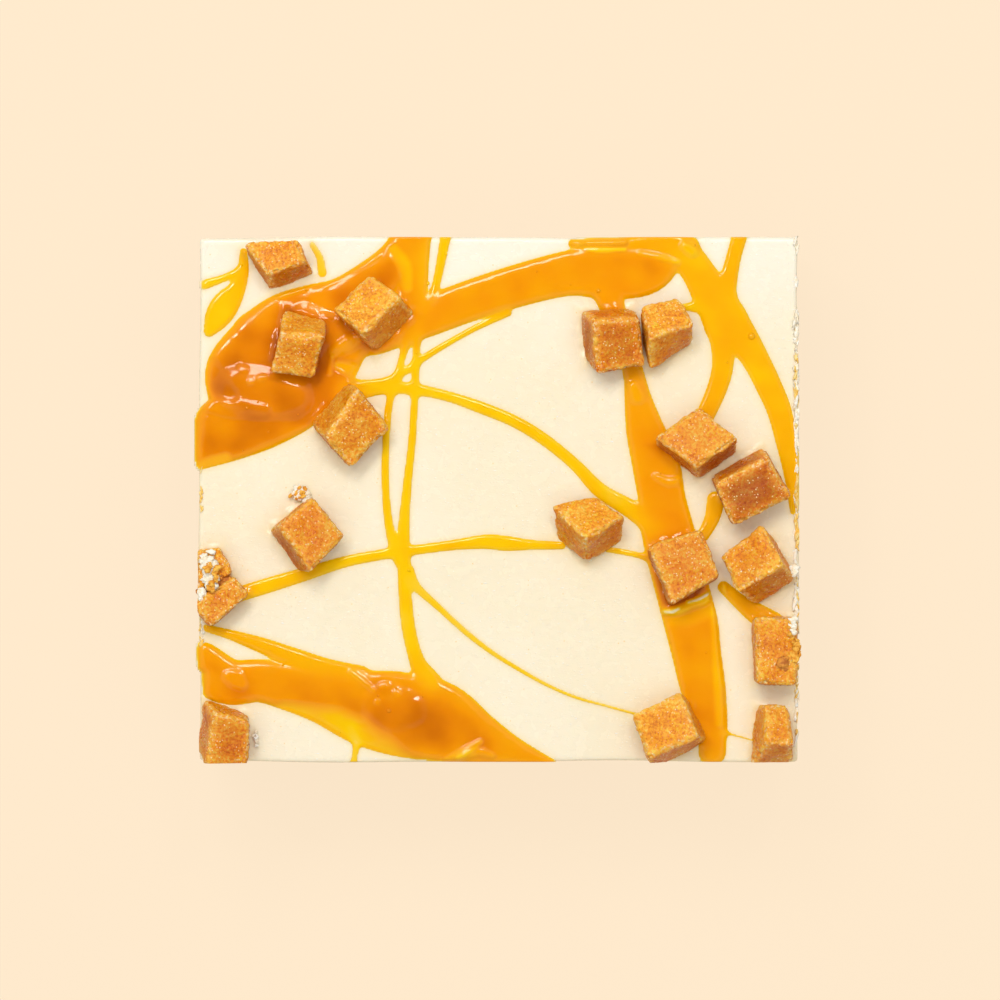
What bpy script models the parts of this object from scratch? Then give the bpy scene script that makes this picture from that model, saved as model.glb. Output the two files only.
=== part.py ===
"""A blondie square: a sponge slab, a slab of set white icing with caramel run over it, and fudge cubes.

Units are metres and +Z is up. The origin is at the middle of the underside. +X runs along the long side.
Lengths below are in millimetres, and MM turns them into metres.
"""

import math

import bmesh
import bpy
from mathutils import Matrix, Vector

MM = 0.001

# The slab. Its four sides are knife cuts, which wander a little.
LEFT_SIDE = -38.7
RIGHT_SIDE = 39.2
FAR_SIDE = 34.1
NEAR_SIDE = -34.1
SPONGE_HEIGHT = 20.7
ICING_HEIGHT = 5.0
TOUCHING_GAP = 0.3
CUT_WANDER = 0.16
SIDE_STEPS = 10
FOOT_ROUNDING = 0.6
RIM_ROUNDING = 0.55

ICING_BOTTOM = SPONGE_HEIGHT + TOUCHING_GAP
ICING_TOP = ICING_BOTTOM + ICING_HEIGHT

# Caramel. A run is a chain of (x, y, half width) from end to end, and it stands higher where it is wide.
CARAMEL_FULL_HEIGHT = 1.2
CARAMEL_RISE = 1.7
RUN_STEP = 1.7
CARAMEL_REACH = 0.66
RUNS = {
    "far_band": [(-12.8, 21.5, 1.3), (-10.0, 23.3, 2.5), (-1.5, 26.5, 2.7), (8.2, 29.2, 2.9),
                 (13.4, 29.6, 3.4), (18.0, 29.6, 3.4), (20.7, 30.0, 2.5), (22.8, 30.6, 0.8)],
    "far_edge": [(9.8, 33.3, 0.5), (17.3, 33.3, 0.9), (21.2, 33.1, 1.6), (25.1, 33.0, 1.2)],
    "right_stream": [(21.5, 33.5, 1.2), (24.5, 31.7, 2.0), (26.4, 29.2, 2.2), (28.0, 26.3, 2.5),
                     (29.5, 23.6, 2.7)],
    "right_inner": [(29.5, 23.1, 2.6), (29.4, 20.1, 1.6), (29.3, 16.8, 1.4), (28.4, 13.8, 1.3),
                    (25.9, 7.7, 0.9)],
    "right_outer": [(30.1, 23.1, 2.6), (31.9, 21.0, 2.1), (33.6, 18.1, 1.8), (36.2, 11.6, 1.3),
                    (37.2, 7.7, 1.0), (38.0, 3.2, 0.7), (38.3, -1.5, 0.3)],
    "right_feeder": [(31.5, 34.0, 1.0), (30.7, 31.1, 1.0), (29.9, 27.2, 1.3), (29.8, 24.0, 1.8)],
    "long_line": [(-9.1, 34.0, 0.5), (-9.9, 26.4, 0.5), (-10.4, 20.1, 0.5), (-10.9, 9.0, 0.5),
                  (-12.1, -5.3, 0.8), (-11.7, -15.0, 0.9), (-10.5, -20.6, 1.0), (-8.9, -23.7, 1.6)],
    "bowed_line": [(-6.6, 34.0, 0.7), (-8.3, 26.6, 0.5), (-11.3, 21.2, 0.5), (-14.1, 11.6, 0.5),
                   (-14.5, 3.0, 0.5), (-12.6, -7.9, 0.8)],
    "slant_line": [(1.5, 24.2, 0.4), (-8.7, 18.9, 0.5), (-15.4, 14.8, 0.8), (-17.8, 14.2, 1.2)],
    "wide_arc": [(-19.7, 14.2, 1.3), (-15.8, 14.5, 0.9), (-6.7, 13.5, 0.7), (2.4, 10.1, 0.8),
                 (10.2, 4.5, 0.8), (13.4, 1.2, 1.0), (20.6, -3.6, 1.3)],
    "cross_line": [(-33.4, -12.3, 1.0), (-24.9, -9.7, 0.9), (-14.5, -7.1, 0.7), (-5.4, -5.9, 0.7),
                   (0.0, -5.6, 1.0), (4.3, -5.9, 0.7), (8.5, -6.0, 0.5)],
    "cross_tail": [(14.4, -6.5, 0.4), (17.3, -7.0, 0.4), (20.5, -7.8, 0.4)],
    "low_arc": [(-11.5, -9.4, 0.8), (-10.4, -11.4, 0.6), (-4.1, -17.2, 0.4), (2.4, -21.8, 0.3),
                (9.0, -25.3, 0.25)],
    "near_pool": [(-38.2, -21.9, 3.4), (-34.7, -23.7, 3.0), (-26.9, -24.4, 3.1), (-22.3, -25.7, 3.6),
                  (-17.1, -27.1, 4.9), (-12.6, -27.9, 5.5), (-7.8, -28.8, 5.2), (-3.0, -30.9, 3.6),
                  (1.7, -32.6, 2.0), (6.9, -34.3, 0.7)],
    "near_feeder": [(-37.9, -16.7, 0.5), (-31.0, -18.8, 1.0), (-22.3, -21.8, 1.2), (-17.8, -22.8, 1.2)],
    "corner_smear": [(-32.9, 32.2, 0.5), (-33.0, 29.8, 0.8), (-33.9, 27.2, 1.2), (-35.3, 25.3, 1.7),
                     (-37.4, 21.9, 0.8)],
    "corner_tail": [(-38.1, 27.9, 0.7), (-33.6, 29.6, 0.5)],
    "left_stream": [(-11.1, 34.3, 2.2), (-13.1, 30.9, 2.7), (-16.5, 28.3, 2.7), (-24.3, 25.2, 2.7),
                    (-27.5, 23.3, 3.6), (-30.5, 21.0, 3.9)],
    "left_join": [(-11.1, 32.4, 2.1), (-11.1, 27.9, 2.0), (-12.1, 23.1, 2.3)],
    "left_pool": [(-38.4, 8.0, 4.2), (-34.4, 9.3, 4.2), (-25.8, 13.6, 4.4), (-21.7, 16.6, 3.2),
                  (-18.8, 19.2, 1.8)],
    "pool_heart": [(-36.6, 13.6, 2.4), (-33.0, 14.6, 3.2), (-28.5, 16.6, 3.6), (-24.0, 18.4, 3.0)],
    "upper_pool": [(-35.7, 15.0, 2.2), (-34.4, 17.0, 3.4), (-31.4, 19.3, 4.2), (-27.5, 20.5, 4.4),
                   (-19.7, 22.0, 3.1), (-12.6, 21.5, 1.6)],
    "right_strip": [(14.2, 27.2, 1.8), (16.7, 20.1, 1.4), (17.8, 16.2, 1.4), (19.3, 9.0, 2.5),
                    (21.5, -0.1, 3.1),
                    (24.3, -12.4, 3.5), (26.0, -20.2, 3.2), (28.0, -29.3, 2.0), (28.0, -32.8, 1.8)],
    "inner_drop": [(28.5, -0.1, 1.2), (26.9, -4.6, 0.8)],
    "outer_drop": [(29.5, -11.4, 0.8), (31.6, -13.3, 1.0), (35.8, -16.1, 1.6)],
}

# Fudge. Each cube is laid out as it is seen from above: its thickness, then the corners of its top face and
# of its foot, both from the near left one round to the far left one. The foot's offset gives the lean.
FUDGE_CUBES = [
    (5.8, ((-29.5, 28.9), (-24.4, 30.7), (-25.8, 33.9), (-32.9, 33.4)),
     ((-29.3, 27.1), (-23.8, 29.2), (-25.6, 32.2), (-32.7, 31.7))),
    (6.6, ((-21.3, 24.7), (-17.4, 21.0), (-12.4, 26.1), (-16.4, 29.2)),
     ((-19.6, 22.8), (-15.7, 18.7), (-10.5, 24.0), (-14.5, 27.2))),
    (6.2, ((-29.3, 16.3), (-23.7, 15.4), (-22.0, 21.1), (-28.0, 21.5)),
     ((-28.8, 19.2), (-23.5, 17.9), (-22.1, 23.3), (-27.5, 25.0))),
    (6.2, ((-22.2, 7.8), (-18.8, 3.9), (-13.7, 9.2), (-18.0, 14.5)),
     ((-24.5, 9.9), (-20.5, 5.9), (-14.9, 10.7), (-19.2, 15.4))),
    (6.2, ((-28.2, -3.3), (-24.0, -9.6), (-19.6, -4.7), (-23.6, 0.5)),
     ((-29.7, -4.0), (-25.7, -9.6), (-21.2, -5.4), (-25.1, -0.2))),
    (5.0, ((-38.8, -12.2), (-34.2, -9.5), (-35.8, -6.1), (-38.7, -6.6)),
     ((-39.1, -12.4), (-34.4, -9.7), (-36.0, -6.3), (-39.0, -6.8))),
    (5.0, ((-39.6, -13.4), (-36.9, -16.7), (-32.0, -12.2), (-34.0, -10.0)),
     ((-40.1, -13.3), (-37.4, -16.7), (-32.5, -12.2), (-34.5, -9.9))),
    (6.0, ((-37.7, -34.7), (-32.1, -34.7), (-31.7, -28.6), (-36.4, -27.4)),
     ((-39.0, -32.8), (-33.2, -33.2), (-32.6, -27.9), (-38.2, -25.5))),
    (6.2, ((12.9, 16.1), (19.3, 17.2), (18.6, 23.4), (12.3, 23.2)),
     ((11.2, 18.1), (17.6, 19.2), (17.6, 25.2), (10.7, 24.6))),
    (6.2, ((19.5, 20.8), (25.6, 22.7), (23.4, 26.5), (18.5, 25.1)),
     ((19.8, 16.3), (25.4, 20.0), (23.7, 23.3), (18.8, 21.4))),
    (6.0, ((20.2, 8.1), (25.6, 4.1), (31.3, 7.9), (26.1, 12.1)),
     ((20.7, 6.6), (26.3, 2.5), (31.5, 6.2), (26.6, 10.3))),
    (6.4, ((28.0, 1.9), (30.5, -3.7), (38.2, 0.1), (35.0, 5.7)),
     ((27.7, 3.2), (30.1, -2.0), (37.6, 1.5), (34.6, 7.0))),
    (6.2, ((6.9, -0.6), (11.3, -5.1), (16.7, -2.1), (12.9, 0.6)),
     ((7.8, -5.7), (11.6, -8.3), (16.3, -5.7), (12.6, -3.3))),
    (6.4, ((19.4, -6.0), (22.6, -13.6), (28.9, -10.0), (26.5, -3.7)),
     ((19.3, -6.4), (22.4, -14.0), (28.6, -10.5), (26.2, -4.1))),
    (6.4, ((28.8, -7.3), (30.8, -11.9), (37.1, -8.3), (34.1, -2.9)),
     ((31.8, -9.0), (33.8, -14.0), (38.9, -10.5), (36.7, -5.4))),
    (6.0, ((33.5, -23.9), (38.8, -24.1), (38.8, -15.3), (33.2, -15.2)),
     ((33.3, -24.0), (38.9, -24.1), (38.9, -15.3), (33.1, -15.3))),
    (6.2, ((17.3, -27.8), (19.3, -33.5), (26.1, -30.7), (23.7, -24.7)),
     ((18.4, -29.1), (20.6, -35.3), (27.5, -31.5), (25.0, -25.9))),
    (6.0, ((34.9, -31.3), (38.4, -31.6), (37.7, -26.4), (34.4, -26.3)),
     ((32.7, -34.6), (38.4, -34.6), (38.0, -28.9), (33.2, -27.0))),
]
SUNK_SHARE = 0.27
DEEPEST_SUNK = 2.7
WORN_EDGE = 0.45
POCKET_GAP = 0.36


def clear_scene():
    for thing in list(bpy.data.objects):
        bpy.data.objects.remove(thing)


def new_collection(name):
    group = bpy.data.collections.new(name)
    bpy.context.scene.collection.children.link(group)
    return group


def finish(name, colour, roughness):
    material = bpy.data.materials.new(name)
    material.use_nodes = True
    shader = material.node_tree.nodes["Principled BSDF"]
    shader.inputs["Base Color"].default_value = (*colour, 1.0)
    shader.inputs["Roughness"].default_value = roughness
    shader.inputs["Metallic"].default_value = 0.0
    return material


def new_object(name, bm, group, material):
    mesh = bpy.data.meshes.new(name)
    bm.to_mesh(mesh)
    bm.free()
    made = bpy.data.objects.new(name, mesh)
    group.objects.link(made)
    if material:
        mesh.materials.append(material)
    return made


def applied(target):
    """Bakes an object's modifiers into its mesh."""
    view = bpy.context.evaluated_depsgraph_get()
    baked = bpy.data.meshes.new_from_object(target.evaluated_get(view))
    target.modifiers.clear()
    target.data = baked
    return target


def wander(along, phase):
    """How far a knife cut strays, from -1 to 1, at a distance along it."""
    return 0.6 * math.sin(along / 9.0 + phase) + 0.4 * math.sin(along / 4.1 + 2.3 * phase)


def cut_slab(bottom, top, steps_up):
    """A block between the four knife cuts, with its sides cut into steps and its top and bottom flat."""
    bm = bmesh.new()
    bmesh.ops.create_cube(bm, size=1.0)
    upright = [e for e in bm.edges if abs(e.verts[0].co.z - e.verts[1].co.z) > 0.5]
    level = [e for e in bm.edges if e not in upright]
    bmesh.ops.subdivide_edges(bm, edges=level, cuts=SIDE_STEPS - 1, use_grid_fill=True)
    if steps_up > 1:
        upright = [e for e in bm.edges if abs(e.verts[0].co.z - e.verts[1].co.z) > 0.5]
        bmesh.ops.subdivide_edges(bm, edges=upright, cuts=steps_up - 1, use_grid_fill=True)
    for v in bm.verts:
        u, w, h = v.co + Vector((0.5, 0.5, 0.5))
        x = LEFT_SIDE + u * (RIGHT_SIDE - LEFT_SIDE)
        y = NEAR_SIDE + w * (FAR_SIDE - NEAR_SIDE)
        z = bottom + h * (top - bottom)
        v.co.x = x + CUT_WANDER * wander(y + z / 3, 1.0) * (2 * u - 1)
        v.co.y = y + CUT_WANDER * wander(x + z / 3, 2.2) * (2 * w - 1)
        v.co.z = z
    return bm


def to_metres(bm):
    bmesh.ops.transform(bm, matrix=Matrix.Scale(MM, 4), verts=bm.verts)
    return bm


def round_rim(bm, height, size):
    """Rounds the sharp edges that lie all round a slab at one height."""
    level = [e for e in bm.edges if all(abs(v.co.z - height) < 0.01 for v in e.verts)]
    rim = [e for e in level if e.calc_face_angle() > 0.8]
    bmesh.ops.bevel(bm, geom=rim, offset=size, segments=2, profile=0.5, affect="EDGES", material=-1)


def sponge(group):
    bm = cut_slab(0.0, SPONGE_HEIGHT, 4)
    round_rim(bm, 0.0, FOOT_ROUNDING)
    return new_object("blondie_base", to_metres(bm), group, finish("sponge", (0.78, 0.52, 0.24), 0.85))


def icing_slab(group):
    bm = cut_slab(ICING_BOTTOM, ICING_TOP, 1)
    round_rim(bm, ICING_TOP, RIM_ROUNDING)
    return new_object("white_icing", to_metres(bm), group, finish("icing", (0.86, 0.78, 0.58), 0.4))


def smooth_run(points):
    """Points every RUN_STEP or so along a smooth curve through a run's points, each with its half width."""
    ends = [2 * Vector(points[0]) - Vector(points[1])], [2 * Vector(points[-1]) - Vector(points[-2])]
    chain = ends[0] + [Vector(p) for p in points] + ends[1]
    laid = []
    for before, start, stop, after in zip(chain, chain[1:], chain[2:], chain[3:]):
        steps = max(1, round((stop - start).xy.length / RUN_STEP))
        for k in range(steps):
            t = k / steps
            bend = (2 * before - 5 * start + 4 * stop - after) * t * t
            twist = (3 * start - before - 3 * stop + after) * t ** 3
            laid.append(start + 0.5 * ((stop - before) * t + bend + twist))
    laid.append(chain[-2])
    return laid


def caramel_run(name, points, group):
    """One run as a flattened tube, half of it under the top of the icing."""
    laid = smooth_run(points)
    curve = bpy.data.curves.new(name, "CURVE")
    curve.dimensions = "3D"
    curve.twist_mode = "Z_UP"
    curve.bevel_depth = MM
    curve.bevel_resolution = 2
    curve.use_fill_caps = True
    line = curve.splines.new("POLY")
    line.points.add(len(laid) - 1)
    for point, (x, y, half_width) in zip(line.points, laid):
        point.co = (x * MM, y * MM, 0.0, 1.0)
        point.radius = half_width
    guide = bpy.data.objects.new(name + "_path", curve)
    group.objects.link(guide)
    view = bpy.context.evaluated_depsgraph_get()
    mesh = bpy.data.meshes.new_from_object(guide.evaluated_get(view))
    bm = bmesh.new()
    bm.from_mesh(mesh)
    bmesh.ops.remove_doubles(bm, verts=bm.verts, dist=1e-6)
    widest = max(p.z for p in laid)
    height = CARAMEL_FULL_HEIGHT * (1 - math.exp(-widest / CARAMEL_RISE))
    bmesh.ops.scale(bm, vec=(1.0, 1.0, height / widest), verts=bm.verts)
    bmesh.ops.translate(bm, vec=(0.0, 0.0, ICING_TOP * MM), verts=bm.verts)
    bmesh.ops.recalc_face_normals(bm, faces=bm.faces)
    bpy.data.objects.remove(guide)
    return new_object(name, bm, group, None)


def combine(target, group, operation):
    """One Boolean with all of a collection, applied, after which the collection's objects are removed."""
    joined = target.modifiers.new(operation.lower(), "BOOLEAN")
    joined.operation = operation
    joined.operand_type = "COLLECTION"
    joined.collection = group
    joined.solver = "EXACT"
    applied(target)
    for thing in list(group.objects):
        bpy.data.objects.remove(thing)


def slice_off(bm, point, outward):
    """Cuts away what lies beyond a plane and closes the cut."""
    everything = bm.verts[:] + bm.edges[:] + bm.faces[:]
    cut = bmesh.ops.bisect_plane(bm, geom=everything, plane_co=point, plane_no=outward, clear_outer=True)
    edges = [g for g in cut["geom_cut"] if isinstance(g, bmesh.types.BMEdge)]
    if edges:
        bmesh.ops.holes_fill(bm, edges=edges, sides=0)


def trim_to_cuts(bm, overhang):
    """Trims a piece flush with the slab's four sides, or with planes a little outside them."""
    for point, outward in (
        ((LEFT_SIDE - overhang, 0, 0), (-1, 0, 0)),
        ((RIGHT_SIDE + CUT_WANDER, 0, 0), (1, 0, 0)),
        ((0, FAR_SIDE, 0), (0, 1, 0)),
        ((0, NEAR_SIDE, 0), (0, -1, 0)),
    ):
        slice_off(bm, Vector(point), Vector(outward))


def drop_scraps(bm):
    """Keeps the largest body of a mesh."""
    left = set(bm.faces)
    bodies = []
    while left:
        body, edge = set(), {left.pop()}
        while edge:
            body |= edge
            edge = {n for f in edge for e in f.edges for n in e.link_faces} & left
            left -= edge
        bodies.append(body)
    keep = max(bodies, key=len)
    bmesh.ops.delete(bm, geom=[f for f in bm.faces if f not in keep], context="FACES")


def fudge_body(cube, growth):
    """A cube between its top and its foot, tipped so that it keeps its thickness, and grown along its edges."""
    thick, top, foot = cube
    top, foot = ([Vector((*corner, 0.0)) for corner in face] for face in (top, foot))
    middles = [sum(face, Vector()) / 4 for face in (foot, top)]
    lean = (middles[1] - middles[0]) / thick
    up = Vector((lean.x, lean.y, math.sqrt(1 - lean.length_squared)))
    for face, middle, height in zip((foot, top), middles, (-thick * up.z, 0.0)):
        for corner in face:
            corner.z = height - up.dot(corner - middle) / up.z
    bm = bmesh.new()
    bmesh.ops.create_cube(bm, size=1.0)
    for v in bm.verts:
        face = top if v.co.z > 0 else foot
        nearer, farther = (face[0], face[3]) if v.co.x < 0 else (face[1], face[2])
        v.co = farther if v.co.y > 0 else nearer
    grown = [sum(((v.co - e.other_vert(v).co).normalized() for e in v.link_edges), Vector()) for v in bm.verts]
    for v, outward in zip(bm.verts, grown):
        v.co += outward * growth
    return bm


def seat_height(cube):
    """How high a cube's top face sits, so that its lowest corner is pressed into the icing."""
    bm = fudge_body(cube, 0.0)
    heights = [v.co.z for v in bm.verts]
    bm.free()
    sunk = min(DEEPEST_SUNK, SUNK_SHARE * (max(heights) - min(heights)))
    return ICING_TOP - sunk - min(heights)


def fudge_cube(number, cube, group, material):
    bm = fudge_body(cube, 0.0)
    bmesh.ops.bevel(bm, geom=bm.edges[:], offset=WORN_EDGE, segments=2, profile=0.5, affect="EDGES", material=-1)
    bmesh.ops.translate(bm, vec=(0, 0, seat_height(cube)), verts=bm.verts)
    trim_to_cuts(bm, 0.0)
    bmesh.ops.recalc_face_normals(bm, faces=bm.faces)
    return new_object(f"fudge_cube_{number:02d}", to_metres(bm), group, material)


def pocket(number, cube, group):
    bm = fudge_body(cube, POCKET_GAP)
    bmesh.ops.translate(bm, vec=(0, 0, seat_height(cube)), verts=bm.verts)
    bmesh.ops.recalc_face_normals(bm, faces=bm.faces)
    cutter = new_object(f"pocket_{number:02d}", to_metres(bm), group, None)
    cutter.hide_render = True
    cutter.display_type = "WIRE"
    return cutter


def icing(group, cutters):
    slab = icing_slab(group)
    for name, points in RUNS.items():
        caramel_run(name, points, cutters)
    combine(slab, cutters, "UNION")
    for number, cube in enumerate(FUDGE_CUBES, 1):
        pocket(number, cube, cutters)
    combine(slab, cutters, "DIFFERENCE")
    bm = bmesh.new()
    bm.from_mesh(slab.data)
    bmesh.ops.scale(bm, vec=(1 / MM, 1 / MM, 1 / MM), verts=bm.verts)
    trim_to_cuts(bm, CARAMEL_REACH)
    drop_scraps(bm)
    bmesh.ops.remove_doubles(bm, verts=bm.verts, dist=0.001)
    to_metres(bm).to_mesh(slab.data)
    bm.free()
    return slab


def main():
    clear_scene()
    parts = new_collection("blondie")
    cutters = new_collection("cutters")
    sponge(parts)
    icing(parts, cutters)
    fudge = finish("fudge", (0.68, 0.34, 0.08), 0.55)
    for number, cube in enumerate(FUDGE_CUBES, 1):
        fudge_cube(number, cube, parts, fudge)


main()
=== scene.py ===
"""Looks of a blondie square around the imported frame: crumb, icing, caramel, fudge cubes and loose crumbs.

Lengths are in millimetres, with +X right, +Y away and +Z up, until a finished piece is scaled to metres.
"""

import math
import random

import bmesh
import bpy
import numpy as np
from mathutils import Euler, Matrix, Vector, noise


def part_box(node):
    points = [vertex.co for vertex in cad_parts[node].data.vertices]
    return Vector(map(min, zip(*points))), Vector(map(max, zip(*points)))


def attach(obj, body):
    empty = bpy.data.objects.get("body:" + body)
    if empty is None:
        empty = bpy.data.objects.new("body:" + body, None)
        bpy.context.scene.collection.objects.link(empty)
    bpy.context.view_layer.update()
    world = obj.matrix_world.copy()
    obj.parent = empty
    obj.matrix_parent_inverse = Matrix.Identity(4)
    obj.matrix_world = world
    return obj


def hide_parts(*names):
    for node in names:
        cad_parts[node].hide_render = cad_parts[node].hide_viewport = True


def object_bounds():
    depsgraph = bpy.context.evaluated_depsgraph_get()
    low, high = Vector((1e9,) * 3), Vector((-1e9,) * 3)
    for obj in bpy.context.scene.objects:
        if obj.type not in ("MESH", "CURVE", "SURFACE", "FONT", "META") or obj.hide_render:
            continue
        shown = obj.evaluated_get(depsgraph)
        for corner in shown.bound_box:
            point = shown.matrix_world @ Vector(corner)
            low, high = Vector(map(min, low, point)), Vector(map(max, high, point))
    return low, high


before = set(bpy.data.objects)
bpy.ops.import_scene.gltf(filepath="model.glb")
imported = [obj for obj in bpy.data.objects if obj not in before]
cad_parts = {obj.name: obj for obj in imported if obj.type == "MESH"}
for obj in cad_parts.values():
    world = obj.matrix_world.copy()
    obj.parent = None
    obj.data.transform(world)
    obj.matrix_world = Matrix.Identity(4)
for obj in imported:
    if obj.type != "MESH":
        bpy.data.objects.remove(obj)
CAD_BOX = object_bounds()

MM = 0.001
TAU = 2 * math.pi

# The slab, between four knife cuts that wander a little.
LEFT_SIDE = -38.7
RIGHT_SIDE = 39.2
FAR_SIDE = 34.1
NEAR_SIDE = -34.1
CUT_WANDER = 0.16
SPONGE_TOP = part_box("blondie_base")[1].z / MM
ICING_TOP = SPONGE_TOP + 5.3
CAD_LOW, CAD_HIGH = (corner / MM for corner in CAD_BOX)
RIM_ROUNDING = 0.55
FOOT_ROUNDING = 0.6
ICING_CELL = 0.32
SPONGE_CELL = 0.45
# Cells are drawn towards an edge within this distance of it, and the more so the higher the power.
GATHER_REACH = 2.0
GATHER_POWER = 1.6
# Round each cube the icing stands up in a collar. Round each cube it is also painted with a warm shadow, and
# along the caramel with a warm painted glow.
COLLAR = 0.14
COLLAR_REACH = 0.5
CARAMEL_PAINTED_GLOW_REACH = 0.35
FOOT_PAINTED_SHADOWS = ((0.7, 0.6), (0.3, 2.0))
# The icing is painted whiter towards the far side, as painted light, from the first y to the second.
PAINTED_FAR_LIGHT = (16.0, 33.0)
# Pits in the sponge's crumb: how many a mm, how wide, and how deep.
PITS_PER_MM = 0.5
PIT_SIZE = 0.26
PIT_DEPTH = 1.0
CRUST_HEIGHT = 1.4

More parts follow.
